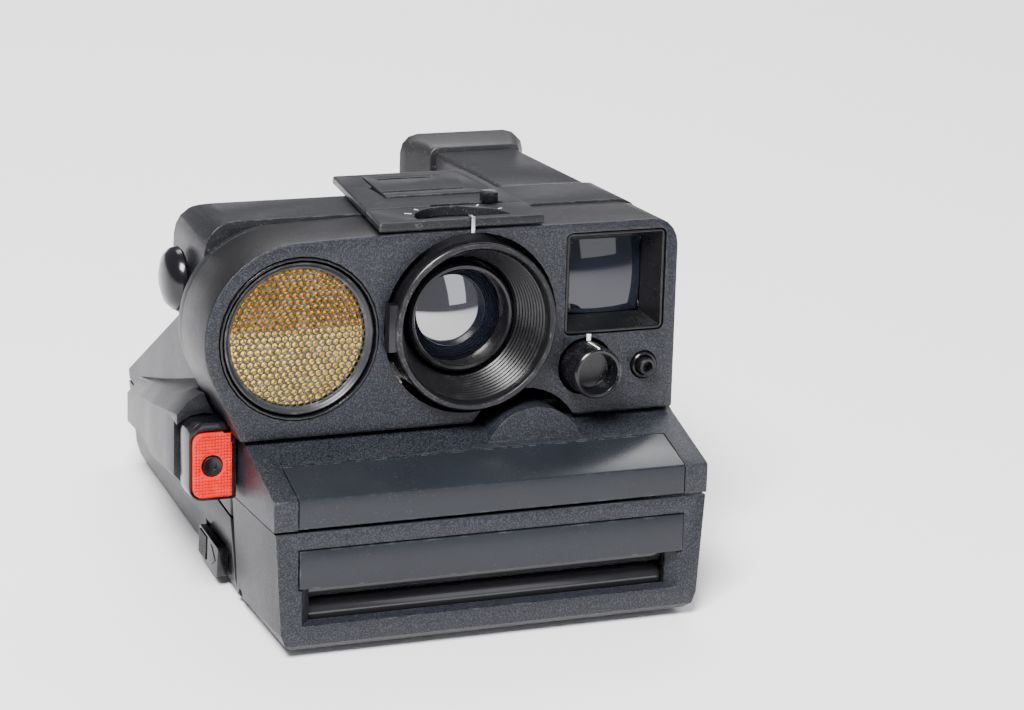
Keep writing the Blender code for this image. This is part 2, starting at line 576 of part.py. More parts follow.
# ============================================================ lens
LENS_P = (LENS[0], RING_FRONT, LENS[1])
ring = finish("focus_ring", lathe(
    [(19.6, RING_FRONT), (RING_R, RING_FRONT + 0.3), (RING_R, 31.4),
     (14.2, 31.4), (14.2, 30.2), (15.6, 27.6), (16.2, 25.4), (18.0, 22.4),
     (18.4, 19.6)], "y", LENS, 44), BLACK, pivot=LENS_P, smooth=30)
cut(ring, box(LENS[0] - 22.6, LENS[0] - 19.9, 17.4, 20.7, 67.0, 78.6),
    op="UNION")
finish("lens_cell", lathe(
    [(12.5, 27.2), (13.8, 27.8), (13.8, 37.6), (9.0, 37.6), (9.0, 36.6),
     (12.5, 36.6)], "y", LENS, 36), BLACK, pivot=LENS_P, smooth=30)
finish("front_element", lathe(
    [(0, 30.0), (6.0, 30.6), (12.1, 33.2), (12.1, 35.4), (6.0, 34.8),
     (0, 34.6)], "y", LENS, 32), GLASS, pivot=LENS_P, smooth=30)
finish("rear_element", lathe([(0, 40.6), (8.6, 41.2), (8.6, 42.6),
                              (0, 43.4)], "y", LENS, 28), GLASS, smooth=35)

# Shutter: two sliding blades between a plate and its cover.
for n, a, b in (("shutter_plate", 45.2, 46.8), ("shutter_cover", 49.2, 50.6)):
    p = finish(n, box(-25.4, 26.6, a, b, 58.0, 86.0), BLACK)
    cut(p, prism(disc(*LENS, 7.0, 24), "y", 40, 60))
for n, sx, a in (("a", -1, 47.2), ("b", 1, 48.2)):
    bl = finish("shutter_blade_" + n, prism(rounded(
        [(LENS[0] + sx * 22.0, 63.0), (LENS[0] + sx * 22.0, 80.8),
         (LENS[0] - sx * 8.6, 80.8), (LENS[0] - sx * 8.6, 63.0)], 2.0, 2),
        "y", a, a + 0.55), STEEL, pivot=(LENS[0], a, LENS[1]))
    cut(bl, prism(disc(LENS[0] + sx * 13.0, LENS[1], 5.4, 20), "y", 40, 60))

# Focusing motor with its pinion beside the lens ring.
PIN = (LENS[0] - 18.6, LENS[1] - 17.0)
finish("focus_motor", lathe([(0, 32.4), (4.9, 32.4), (4.9, 40.6),
                             (0, 40.6)], "y", PIN, 20), ALU, smooth=35)
finish("focus_pinion", gear(PIN[0], PIN[1], 26.4, 31.9, 2.7, 3.5, 10, "y"),
       NYLON, pivot=(PIN[0], 29.0, PIN[1]))

# ============================================================ small controls
finish("exposure_knob", lathe(
    [(5.2, 12.9), (5.9, 12.7), (6.3, 13.1), (6.3, 26.0), (0, 26.0),
     (0, 18.2), (4.7, 18.2)], "y", KNOB, 32), GLOSS,
    pivot=(KNOB[0], 20.0, KNOB[1]), smooth=35)
finish("photocell_ring", lathe([(2.5, 20.3), (3.0, 20.2), (3.35, 20.5),
                                (3.35, 25.0), (2.5, 25.0)], "y", CELL, 24),
       GLOSS, smooth=35)
finish("photocell_tube", lathe([(1.3, 18.4), (2.0, 18.3), (2.2, 18.6),
                                (2.2, 26.0), (0, 26.0), (0, 20.8),
                                (1.3, 20.8)], "y", CELL, 24),
       BLACK, smooth=35)

# ============================================================ viewfinder
vf = finish("viewfinder_frame", prism(rounded(
    [(VF_X0 + 0.3, VF_Z0 + 0.3), (VF_X1 - 0.3, VF_Z0 + 0.3),
     (VF_X1 - 0.3, VF_Z1 - 0.3), (VF_X0 + 0.3, VF_Z1 - 0.3)], 1.4, 3),
    "y", FACE_Y + 0.3, 31.8), BLACK)
cut(vf, loft([[(a, y, c), (b, y, c), (b, y, d), (a, y, d)]
              for a, b, c, d, y in (
                  (VF_X0 + 0.7, VF_X1 - 0.7, VF_Z0 + 0.7, VF_Z1 - 0.7, 19.0),
                  (VF_X0 + 1.0, VF_X1 - 1.0, VF_Z0 + 1.0, VF_Z1 - 1.0, 21.6),
                  (29.4, 48.8, 70.4, 89.6, 27.6),
                  (29.4, 48.8, 70.4, 89.6, 29.0))]))
cut(vf, box(28.4, 49.8, 28.2, 36.0, 69.4, 90.6))
finish("viewfinder_lens", loft([
    [(39.1 + w * sx, y, 80.0 + w * sz) for sx, sz in (
        (-1, -0.97), (1, -0.97), (1, 0.97), (-1, 0.97))]
    for y, w in ((28.6, 9.0), (29.3, 10.2), (31.2, 10.2))]), GLASS)
tube = finish("viewfinder_tube", prism(
    [(STEP_Y + 0.4, TUBE_Z0), (70.9, 91.9), (69.6, TUBE_Z1),
     (TUBE_END, TUBE_Z1), (TUBE_END, TUBE_Z0)], "x", TUBE_X0, TUBE_X1), SHELL)
bevel(tube, 1.6, 2, 60.0)
cut(tube, box(TUBE_X0 + 2.2, TUBE_X1 - 2.2, 60.0, 125.0, TUBE_Z0 + 2.2,
              TUBE_Z1 - 2.2))
finish("eyepiece_lens", loft([
    [(39.75 + w * sx, y, 82.4 + w * sz) for sx, sz in (
        (-1, -1), (1, -1), (1, 1), (-1, 1))]
    for y, w in ((111.5, 9.6), (113.0, 9.6), (114.0, 8.0))]), GLASS)
ex, ez = (EYE_X0 + EYE_X1) / 2, (EYE_Z0 + EYE_Z1) / 2


def eye_loop(y, hw, hh, r, xm=ex, zm=ez):
    return [(u, y, v) for u, v in rounded(
        [(xm - hw, zm - hh), (xm + hw, zm - hh), (xm + hw, zm + hh),
         (xm - hw, zm + hh)], r, 3)]


TX, TZ = (TUBE_X0 + TUBE_X1) / 2, (TUBE_Z0 + TUBE_Z1) / 2
cup = finish("eyecup", loft([
    eye_loop(TUBE_END + 0.4, 13.2, 13.4, 2.5, TX, TZ),
    eye_loop(TUBE_END + 3.4, 14.2, 14.2, 3.0, TX, TZ),
    eye_loop(TUBE_END + 8.4, 17.3, 15.1, 4.5),
    eye_loop(EYE_BACK - 1.0, 17.8, 15.55, 5.0),
    eye_loop(EYE_BACK, 17.2, 15.0, 5.0)]), RUBBER)
cut(cup, loft([
    eye_loop(TUBE_END - 3.0, 9.6, 9.6, 2.0, TX, TZ),
    eye_loop(TUBE_END + 4.4, 9.8, 9.8, 2.0, TX, TZ),
    eye_loop(TUBE_END + 9.0, 14.6, 12.4, 3.0),
    eye_loop(EYE_BACK + 1.5, 15.4, 13.2, 4.0)]))

# ============================================================ strap lugs
for n, sx, x0 in (("left", -1, HUMP_L - GAP), ("right", 1, HALF_W + GAP)):
    prof = [(0, 0.0), (4.2, 0.0), (4.2, 1.0), (7.4, 1.0), (8.1, 1.8),
            (7.7, 3.4), (6.2, 4.9), (3.6, 5.8), (0, 6.1)]
    finish("strap_lug_" + n, lathe([(r, x0 + sx * a) for r, a in prof], "x",
                                   (60.0, 78.4), 28), GLOSS, smooth=40)

# Arm that pushes the front sheet of film out to the rollers.
arm = finish("pick_arm", box(46.0, 47.2, 66.0, 116.0, 24.3, 27.2), STEEL,
             BASE, pivot=(46.6, 114.0, 25.8))
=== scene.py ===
import json
import math

import bmesh
import bpy
from mathutils import Matrix, Vector


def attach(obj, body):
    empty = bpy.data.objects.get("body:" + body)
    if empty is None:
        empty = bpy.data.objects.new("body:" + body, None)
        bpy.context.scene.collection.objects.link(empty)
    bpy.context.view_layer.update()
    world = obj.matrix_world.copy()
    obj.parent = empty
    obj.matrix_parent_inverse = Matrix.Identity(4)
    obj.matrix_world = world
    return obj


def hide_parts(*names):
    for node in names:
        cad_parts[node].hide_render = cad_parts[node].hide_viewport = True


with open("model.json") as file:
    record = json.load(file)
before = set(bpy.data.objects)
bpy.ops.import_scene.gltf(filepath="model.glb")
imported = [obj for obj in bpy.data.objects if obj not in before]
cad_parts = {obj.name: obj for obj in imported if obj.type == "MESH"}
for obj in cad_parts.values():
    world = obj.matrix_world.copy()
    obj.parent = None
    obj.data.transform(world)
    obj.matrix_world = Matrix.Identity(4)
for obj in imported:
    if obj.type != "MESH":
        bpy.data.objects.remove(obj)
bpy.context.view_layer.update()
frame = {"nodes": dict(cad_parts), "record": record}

MM = 0.001
LEAN = math.radians(-7.0)
FRONT = Matrix.Translation((0.00368, -0.071, 0.0025)) @ Matrix.Rotation(LEAN, 4, "X")
BASE = Matrix.Translation((0.00368, -0.071, 0.0))
SONAR = (-43.4, 71.0)
LENS = (0.64, 71.9)
KNOB = (31.6, 58.8)
CELL = (47.5, 58.0)


# ---------------------------------------------------------------- materials
def material(name, base, rough, metal=0.0, grain=1600.0, bump=0.25, depth=0.00004,
             speck=0.0, speck_lo=0.60, speck_scale=2600.0, speck_col=(0.25, 0.26, 0.29), wear=0.0,
             wear_col=(0.3, 0.3, 0.32), smudge=0.08, coat=0.0, spec=0.5,
             trans=0.0, drift=1.25, rings=None, stretch=None, dust=0.0, ior=1.5):
    m = bpy.data.materials.new(name)
    m.use_nodes = True
    nt = m.node_tree
    b = nt.nodes["Principled BSDF"]
    N = nt.nodes.new
    L = nt.links.new
    co = N("ShaderNodeTexCoord").outputs["Object"]
    if stretch:
        mp = N("ShaderNodeMapping")
        mp.inputs["Scale"].default_value = stretch
        L(co, mp.inputs["Vector"])
        fine_co = mp.outputs["Vector"]
    else:
        fine_co = co

    def noise(scale, detail=3.0, src=None, rough_=0.55):
        n = N("ShaderNodeTexNoise")
        n.inputs["Scale"].default_value = scale
        n.inputs["Detail"].default_value = detail
        n.inputs["Roughness"].default_value = rough_
        L(src if src is not None else co, n.inputs["Vector"])
        return n.outputs["Fac"]

    def ramp(src, lo, hi):
        r = N("ShaderNodeMapRange")
        r.inputs["From Min"].default_value = lo
        r.inputs["From Max"].default_value = hi
        L(src, r.inputs["Value"])
        return r.outputs["Result"]

    def math_(op, a, b_):
        n = N("ShaderNodeMath")
        n.operation = op
        for i, v in ((0, a), (1, b_)):
            if isinstance(v, (int, float)):
                n.inputs[i].default_value = v
            else:
                L(v, n.inputs[i])
        return n.outputs[0]

    def mix(fac, a, b_):
        n = N("ShaderNodeMix")
        n.data_type = "RGBA"
        if isinstance(fac, (int, float)):
            n.inputs[0].default_value = fac
        else:
            L(fac, n.inputs[0])
        for i, v in ((6, a), (7, b_)):
            if isinstance(v, tuple):
                n.inputs[i].default_value = (*v, 1.0)
            else:
                L(v, n.inputs[i])
        return n.outputs[2]

    big = noise(55.0, 4.0)
    mid = noise(420.0, 4.0)
    fine = noise(grain, 3.0, fine_co)
    # slow drift of the colour
    col = mix(ramp(big, 0.3, 0.75), tuple(base), tuple(min(1.0, c * drift) for c in base))
    if speck > 0:
        dots = noise(speck_scale, 1.0)
        col = mix(math_("MULTIPLY", ramp(dots, speck_lo, speck_lo + 0.13), speck), col, speck_col)
    r = math_("ADD", math_("MULTIPLY", math_("SUBTRACT", big, 0.5), smudge * 2.2),
              math_("MULTIPLY", math_("SUBTRACT", mid, 0.5), smudge * 1.3))
    r = math_("ADD", r, rough)
    if dust > 0:
        motes = ramp(noise(1900.0, 0.0), 0.71, 0.76)
        patch = ramp(noise(75.0, 2.0), 0.42, 0.62)
        d = math_("MULTIPLY", math_("MULTIPLY", motes, patch), dust)
        col = mix(d, col, (0.55, 0.55, 0.56))
        r = math_("ADD", r, math_("MULTIPLY", d, 0.4))
    if wear > 0:
        bv = N("ShaderNodeBevel")
        bv.samples = 4
        bv.inputs["Radius"].default_value = 0.0006
        ge = N("ShaderNodeNewGeometry")
        dt = N("ShaderNodeVectorMath")
        dt.operation = "DOT_PRODUCT"
        L(bv.outputs["Normal"], dt.inputs[0])
        L(ge.outputs["Normal"], dt.inputs[1])
        edge = ramp(dt.outputs["Value"], 0.985, 0.90)
        chips = ramp(noise(300.0, 4.0), 0.50, 0.66)
        k = math_("MULTIPLY", math_("MULTIPLY", edge, chips), wear)
        col = mix(k, col, wear_col)
        r = math_("ADD", r, math_("MULTIPLY", k, -0.08))
    height = math_("ADD", fine, math_("MULTIPLY", mid, 0.5))
    if rings:
        ax, pitch, amount = rings
        vm = N("ShaderNodeVectorMath")
        vm.operation = "DISTANCE"
        L(co, vm.inputs[0])
        vm.inputs[1].default_value = ax
        sn = math_("SINE", math_("MULTIPLY", vm.outputs["Value"], 6.28318 / pitch), 0.0)
        height = math_("ADD", math_("MULTIPLY", height, 0.25), math_("MULTIPLY", sn, amount))
    L(col, b.inputs["Base Color"])
    cl = N("ShaderNodeClamp")
    cl.inputs["Min"].default_value = 0.02
    L(r, cl.inputs["Value"])
    L(cl.outputs[0], b.inputs["Roughness"])
    b.inputs["Metallic"].default_value = metal
    b.inputs["Coat Weight"].default_value = coat
    b.inputs["Coat Roughness"].default_value = 0.08
    b.inputs["Specular IOR Level"].default_value = spec
    b.inputs["Transmission Weight"].default_value = trans
    b.inputs["IOR"].default_value = ior
    bp = N("ShaderNodeBump")
    bp.inputs["Strength"].default_value = bump
    bp.inputs["Distance"].default_value = depth
    L(height, bp.inputs["Height"])
    L(bp.outputs["Normal"], b.inputs["Normal"])
    return m


SONAR_W = tuple(FRONT @ (Vector((SONAR[0], 24.0, SONAR[1])) * MM))
M = {
    "shell_plastic": material("mat_shell", (0.010, 0.0105, 0.0125), 0.38, spec=0.26, grain=3000, bump=0.12,
                              speck=0.10, wear=0.35, wear_col=(0.22, 0.22, 0.24), dust=0.10, smudge=0.08),
    "face_plastic": material("mat_face", (0.0050, 0.0056, 0.0078), 0.40, grain=2600, bump=1.0,
                             depth=0.00012, speck=0.9, speck_lo=0.48, speck_scale=2700,
                             speck_col=(0.029, 0.033, 0.044),
                             wear=0.30, wear_col=(0.14, 0.15, 0.17), dust=0.0, spec=0.36),
    "gloss_black": material("mat_gloss", (0.004, 0.004, 0.0055), 0.20, grain=900, bump=0.02,
                            wear=0.2, wear_col=(0.10, 0.10, 0.11), dust=0.05, coat=0.0, spec=0.4, smudge=0.04),
    "inner_black": material("mat_inner", (0.004, 0.004, 0.005), 0.30, grain=1500, bump=0.05, spec=0.4,
                            wear=0.15, wear_col=(0.12, 0.12, 0.13), dust=0.05),
    "red_button": material("mat_red", (0.55, 0.004, 0.002), 0.40, spec=0.3, grain=1800, bump=0.12,
                           wear=0.2, wear_col=(0.85, 0.20, 0.14), dust=0.05, smudge=0.05),
    "gold_foil": material("mat_gold", (0.95, 0.62, 0.14), 0.34, metal=1.0, grain=500, bump=0.5,
                          depth=0.0001, rings=(SONAR_W, 0.0009, 0.7), smudge=0.06),
    "grille_metal": material("mat_grille", (0.022, 0.023, 0.026), 0.36, metal=0.2, grain=2600, bump=0.15,
                             wear=0.35, wear_col=(0.30, 0.30, 0.32), dust=0.05),
    "optical_glass": material("mat_glass", (0.86, 0.90, 0.98), 0.0, grain=300, bump=0.0, trans=1.0,
                              smudge=0.0, spec=0.9, ior=1.6),
    "eyecup_rubber": material("mat_rubber", (0.010, 0.010, 0.012), 0.50, grain=1500, bump=0.3, dust=0.15,
                              wear=0.15, smudge=0.1),
    # painted shade: the rollers' steel is darkened to near-black for the shaded film slot they sit in
    "roller_steel": material("mat_steel_painted_dark", (0.045, 0.045, 0.05), 0.16, metal=0.6, grain=800, bump=0.08,
                             stretch=(0.08, 1.0, 1.0), smudge=0.05, wear=0.1),
    "contact_brass": material("mat_brass", (0.72, 0.50, 0.20), 0.3, metal=1.0, grain=900, bump=0.15, smudge=0.1),
    "plate_aluminium": material("mat_alu", (0.62, 0.62, 0.64), 0.34, metal=1.0, grain=1200, bump=0.15, smudge=0.08),
    "mirror_glass": material("mat_mirror", (0.80, 0.82, 0.84), 0.03, metal=1.0, grain=400, bump=0.01, smudge=0.02),
    "clear_plastic": material("mat_clear", (0.45, 0.45, 0.48), 0.09, grain=500, bump=0.03, trans=0.7, smudge=0.03),
    "gear_nylon": material("mat_nylon", (0.70, 0.68, 0.60), 0.45, grain=1500, bump=0.15, wear=0.2),
}


def paint_foil_reflection_and_rim_shade(m):
    """Painted reflection: deeper amber above, brighter below; painted shade: a near-black band at the foil's edge
    under the grille rim.
    """
    nt = m.node_tree
    b = nt.nodes["Principled BSDF"]
    co = nt.nodes.new("ShaderNodeTexCoord").outputs["Object"]
    sep = nt.nodes.new("ShaderNodeSeparateXYZ")
    nt.links.new(co, sep.inputs[0])
    mr = nt.nodes.new("ShaderNodeMapRange")
    mr.interpolation_type = "SMOOTHSTEP"
    mr.inputs["From Min"].default_value = SONAR_W[2] + 0.0035
    mr.inputs["From Max"].default_value = SONAR_W[2] + 0.0005
    nt.links.new(sep.outputs["Z"], mr.inputs["Value"])
    mx = nt.nodes.new("ShaderNodeMix")
    mx.data_type = "RGBA"
    nt.links.new(mr.outputs["Result"], mx.inputs[0])
    # painted reflection: the amber top and bright bottom colours stand in for what the foil reflects
    mx.inputs[6].default_value = (0.62, 0.30, 0.030, 1.0)
    mx.inputs[7].default_value = (1.0, 0.66, 0.14, 1.0)
    dist = nt.nodes.new("ShaderNodeVectorMath")
    dist.operation = "DISTANCE"
    nt.links.new(co, dist.inputs[0])
    dist.inputs[1].default_value = SONAR_W
    # painted shade: the foil goes near-black from 17 mm out, where the grille rim shades it
    rr = nt.nodes.new("ShaderNodeMapRange")
    rr.inputs["From Min"].default_value = 0.0166
    rr.inputs["From Max"].default_value = 0.0170
    nt.links.new(dist.outputs["Value"], rr.inputs["Value"])
    m2 = nt.nodes.new("ShaderNodeMix")
    m2.data_type = "RGBA"
    nt.links.new(rr.outputs["Result"], m2.inputs[0])
    nt.links.new(mx.outputs[2], m2.inputs[6])
    m2.inputs[7].default_value = (0.01, 0.008, 0.006, 1.0)
    nt.links.new(m2.outputs[2], b.inputs["Base Color"])
    return m


paint_foil_reflection_and_rim_shade(M["gold_foil"])


def smooth_sides(m):
    """The grain is only on the front of the cover; its side band is plain black."""
    m = m.copy()
    m.name = "mat_face_cover"
    nt = m.node_tree
    b = nt.nodes["Principled BSDF"]
    src = b.inputs["Base Color"].links[0].from_socket
    ge = nt.nodes.new("ShaderNodeNewGeometry")
    dot = nt.nodes.new("ShaderNodeVectorMath")
    dot.operation = "DOT_PRODUCT"
    nt.links.new(ge.outputs["True Normal"], dot.inputs[0])
    dot.inputs[1].default_value = (0.0, -math.cos(LEAN), -math.sin(LEAN))
    mr = nt.nodes.new("ShaderNodeMapRange")
    mr.inputs["From Min"].default_value = 0.55
    mr.inputs["From Max"].default_value = 0.8
    nt.links.new(dot.outputs["Value"], mr.inputs["Value"])
    mx = nt.nodes.new("ShaderNodeMix")
    mx.data_type = "RGBA"
    nt.links.new(mr.outputs["Result"], mx.inputs[0])
    mx.inputs[6].default_value = (0.0055, 0.0055, 0.0065, 1.0)
    nt.links.new(src, mx.inputs[7])
    nt.links.new(mx.outputs[2], b.inputs["Base Color"])
    return m


COVER = smooth_sides(M["face_plastic"])
BLADE = material("mat_blade", (0.012, 0.012, 0.014), 0.28, grain=300, bump=0.0, smudge=0.02, spec=0.4)
# painted shade: the front element is opaque near-black glass standing in for the unlit lens interior behind it
LENS_PAINTED_DARK = material("mat_lens_painted_dark", (0.008, 0.010, 0.020), 0.02, grain=300, bump=0.0, coat=1.0,
                      spec=1.0, smudge=0.01, ior=2.1)
PANEL = material("mat_panel", (0.011, 0.013, 0.017), 0.25, grain=2600, bump=0.05, wear=0.25,
                 wear_col=(0.30, 0.31, 0.33), dust=0.02, smudge=0.05, spec=0.30)
WHITE = material("mat_white_mark", (0.80, 0.80, 0.80), 0.45, grain=1500, bump=0.15, dust=0.1)
# painted shade: an opaque near-black pane standing in for the unlit viewfinder interior behind the window
VIEWFINDER_PAINTED_DARK = material("mat_viewfinder_painted_dark", (0.004, 0.006, 0.012), 0.03, grain=300, bump=0.0, coat=0.0,
                      spec=0.7, smudge=0.01, dust=0.02)

SLOT = {s["node"]: s["material_slot"] for s in frame["record"]["subparts"]}


def smooth_group():
    """Shades every face smooth and keeps the edges over 32 degrees sharp."""
    g = bpy.data.node_groups.new("edge_shading", "GeometryNodeTree")
    g.interface.new_socket("Geometry", in_out="INPUT", socket_type="NodeSocketGeometry")
    g.interface.new_socket("Geometry", in_out="OUTPUT", socket_type="NodeSocketGeometry")
    i = g.nodes.new("NodeGroupInput")
    o = g.nodes.new("NodeGroupOutput")
    f = g.nodes.new("GeometryNodeSetShadeSmooth")
    f.domain = "FACE"
    e = g.nodes.new("GeometryNodeSetShadeSmooth")
    e.domain = "EDGE"
    a = g.nodes.new("GeometryNodeInputMeshEdgeAngle")
    c = g.nodes.new("FunctionNodeCompare")
    c.data_type = "FLOAT"
    c.operation = "LESS_EQUAL"
    c.inputs[1].default_value = math.radians(32.0)
    g.links.new(i.outputs[0], f.inputs["Geometry"])
    g.links.new(f.outputs[0], e.inputs["Geometry"])
    g.links.new(a.outputs["Unsigned Angle"], c.inputs[0])
    g.links.new(c.outputs[0], e.inputs["Shade Smooth"])
    g.links.new(e.outputs[0], o.inputs[0])
    return g


SHADE = smooth_group()


def dress(ob, width=0.25, seg=3, angle=32.0):
    w = ob.modifiers.new("weld", "WELD")
    w.merge_threshold = 0.00001
    if width > 0:
        bv = ob.modifiers.new("round", "BEVEL")
        bv.width = width * MM
        bv.segments = seg
        bv.limit_method = "ANGLE"
        bv.angle_limit = math.radians(angle)
        bv.use_clamp_overlap = True
        bv.miter_outer = "MITER_ARC"
    s = ob.modifiers.new("shade", "NODES")
    s.node_group = SHADE


ROUND = {"hand_grip": 1.3, "top_housing": 0.5, "body_shell": 0.9, "base_tray": 0.5, "film_door": 0.45,
         "deck": 0.35, "front_cover": 0.3, "viewfinder_tube": 0.4, "label_plate": 0.15, "door_panel": 0.15,
         "shutter_button": 0.25, "button_pod": 0.4, "focus_window_plate": 0.25, "flash_base": 0.25,
         "socket_cover": 0.2, "door_latch": 0.3, "focus_switch": 0.3, "eyecup": 0.8, "viewfinder_frame": 0.2,
         "exposure_knob": 0.12, "sonar_housing": 0.12, "focus_index": 0.06, "counter_window": 0.1}
for name, ob in frame["nodes"].items():
    ob.data.materials.clear()
    ob.data.materials.append(PANEL if name in ("label_plate", "door_panel")
                             else COVER if name == "front_cover" else BLADE if name.startswith("shutter_") and name != "shutter_button" else M[SLOT[name]])
    dress(ob, ROUND.get(name, 0.08))


# ------------------------------------------------------------------ builders
def piece(name, bm, mat, body, space=FRONT, smooth=True, bevel=0.0, seg=2):
    bmesh.ops.remove_doubles(bm, verts=bm.verts, dist=1e-5)
    bmesh.ops.recalc_face_normals(bm, faces=bm.faces)
    me = bpy.data.meshes.new(name)
    bmesh.ops.transform(bm, matrix=space @ Matrix.Scale(MM, 4), verts=bm.verts)
    bm.to_mesh(me)
    bm.free()
    me.materials.append(mat)
    ob = bpy.data.objects.new(name, me)
    bpy.context.scene.collection.objects.link(ob)
    if bevel > 0:
        bv = ob.modifiers.new("round", "BEVEL")
        bv.width = bevel * MM
        bv.segments = seg
        bv.limit_method = "ANGLE"
        bv.angle_limit = math.radians(35)
    if smooth:
        s = ob.modifiers.new("shade", "NODES")
        s.node_group = SHADE
    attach(ob, body)
    return ob


def lathe(profile, centre, seg=96, axis="y", closed=True, bm=None):
    bm = bm or bmesh.new()
    cols = []
    for k in range(seg):
        g = 2 * math.pi * k / seg
        c, s = math.cos(g), math.sin(g)
        if axis == "y":
            cols.append([bm.verts.new((centre[0] + r * c, a, centre[1] + r * s)) for r, a in profile])
        else:
            cols.append([bm.verts.new((a, centre[0] + r * c, centre[1] + r * s)) for r, a in profile])
    n = len(profile)
    for k in range(seg):
        a, b = cols[k], cols[(k + 1) % seg]
        for i in range(n if closed else n - 1):
            j = (i + 1) % n
            if profile[i][0] < 1e-6 and profile[j][0] < 1e-6:
                continue
            loop = [a[i], a[j], b[j], b[i]]
            if profile[i][0] < 1e-6:
                loop = [a[i], a[j], b[j]]
            elif profile[j][0] < 1e-6:
                loop = [a[i], a[j], b[i]]
            bm.faces.new(loop)
    return bm


def prism(outline, axis, a, b, bm=None):
    bm = bm or bmesh.new()
    put = {"x": lambda u, v, w: (w, u, v), "y": lambda u, v, w: (u, w, v), "z": lambda u, v, w: (u, v, w)}[axis]
    lo = [bm.verts.new(put(u, v, a)) for u, v in outline]
    hi = [bm.verts.new(put(u, v, b)) for u, v in outline]
    bm.faces.new(lo)
    bm.faces.new(list(reversed(hi)))
    n = len(outline)
    for i in range(n):
        j = (i + 1) % n
        bm.faces.new((lo[j], lo[i], hi[i], hi[j]))
    return bm


def box(x0, x1, y0, y1, z0, z1, bm=None):
    return prism([(x0, y0), (x1, y0), (x1, y1), (x0, y1)], "z", z0, z1, bm)


# ------------------------------------------------------------- sonar grille
def grille():
    """A dished sheet with round holes in a hexagonal pattern, rim turned forward."""
    bm = bmesh.new()
    pitch, hole, reach = 1.72, 0.725, 17.95
    cell = pitch / math.sqrt(3.0)

    def sheet(x, z, back):
        r2 = (x * x + z * z) / (17.9 * 17.9)
        return (SONAR[0] + x, 22.3 - 0.45 * (1.0 - r2) + back, SONAR[1] + z)

    rows = int(reach / (pitch * 0.866)) + 1
    for j in range(-rows, rows + 1):
        for i in range(-rows - 2, rows + 3):
            cx, cz = (i + 0.5 * (j % 2)) * pitch, j * pitch * 0.8660254
            if math.hypot(cx, cz) > reach - 0.55:
                continue
            outer, inner = [], []
            for k in range(12):
                g = math.radians(30.0 * k + 30.0)
                rr = cell if k % 2 == 0 else cell * 0.8660254
                outer.append((cx + rr * math.cos(g), cz + rr * math.sin(g)))
                inner.append((cx + hole * math.cos(g), cz + hole * math.sin(g)))
            a = [bm.verts.new(sheet(x, z, 0.0)) for x, z in outer]
            b = [bm.verts.new(sheet(x, z, 0.0)) for x, z in inner]
            c = [bm.verts.new(sheet(x, z, 0.26)) for x, z in inner]
            for k in range(12):
                n = (k + 1) % 12
                bm.faces.new((a[k], a[n], b[n], b[k]))
                bm.faces.new((b[k], b[n], c[n], c[k]))
    lathe([(17.2, 22.24), (17.5, 22.2), (17.9, 21.9), (18.15, 21.45), (18.4, 21.25), (18.75, 21.4),
           (18.75, 22.4), (18.0, 23.2), (17.4, 22.6), (17.0, 22.5)], SONAR, 120, bm=bm)
    return bm


g = piece("sonar_grille_perforated", grille(), M["grille_metal"], "camera")
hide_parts("sonar_grille")
# the foil bulges forward between the fine grooves of its backplate
prof = [(0.0, 22.62)]
for i in range(1, 37):
    r = 17.85 * i / 36
    prof.append((r, 22.62 + 0.5 * (r / 17.85) ** 2 + (0.07 if i % 2 else 0.0)))
prof += [(17.85, 24.2), (0.0, 24.2)]
foil = piece("sonar_foil_grooved", lathe(prof, SONAR, 96), M["gold_foil"], "camera")
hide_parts("sonar_foil")

# ------------------------------------------------------------------ lens
teeth = []
steps = 11
for i in range(steps):
    t = i / steps
    r = 18.5 - 3.9 * t
    y = 19.0 + 11.2 * t
    teeth += [(r + 0.32, y), (r - 0.14, y + 0.22), (r - 0.14, y + 0.62)]
bm = lathe([(19.3, 17.35), (19.55, 16.95), (20.0, 16.8), (20.7, 16.85), (21.0, 17.15), (21.0, 31.4), (14.2, 31.4),
            (14.2, 30.6)] + list(reversed(teeth)) + [(18.9, 18.6), (19.1, 17.9)], LENS, 128)
box(LENS[0] - 22.6, LENS[0] - 20.2, 17.4, 20.7, 67.0, 78.6, bm)
ring = piece("lens_ring_ridged", bm, M["inner_black"], "focus_group", bevel=0.06)
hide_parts("focus_ring")
rim = piece("lens_ring_lip", lathe([(19.62, 16.9), (19.72, 16.72), (20.62, 16.74), (20.74, 16.92)], LENS, 128),
            M["shell_plastic"], "focus_group")

prof = [(12.5, 27.2), (13.1, 27.0), (13.8, 27.6), (13.8, 37.6), (9.0, 37.6), (9.0, 36.6), (12.3, 36.6)]
for i in range(6):
    y = 33.0 - i * 0.95
    prof += [(12.5, y), (12.15, y - 0.45)]
cell = piece("lens_cell_ridged", lathe(prof, LENS, 112), M["inner_black"], "focus_group", bevel=0.0)
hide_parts("lens_cell")


def element(r, y_front, sag, edge, n=14):
    out = [(0.0, y_front)]
    for i in range(1, n + 1):
        q = r * i / n
        out.append((q, y_front + sag * (q / r) ** 2))
    out += [(r, y_front + sag + edge), (r * 0.5, y_front + sag + edge - 0.2), (0.0, y_front + sag + edge - 0.3)]
    return out


# the front element uses the opaque glass with painted shade, not a see-through lens
el = piece("front_element_domed", lathe(element(12.05, 29.8, 2.9, 1.8), LENS, 96), LENS_PAINTED_DARK,
           "focus_group")
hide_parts("front_element")

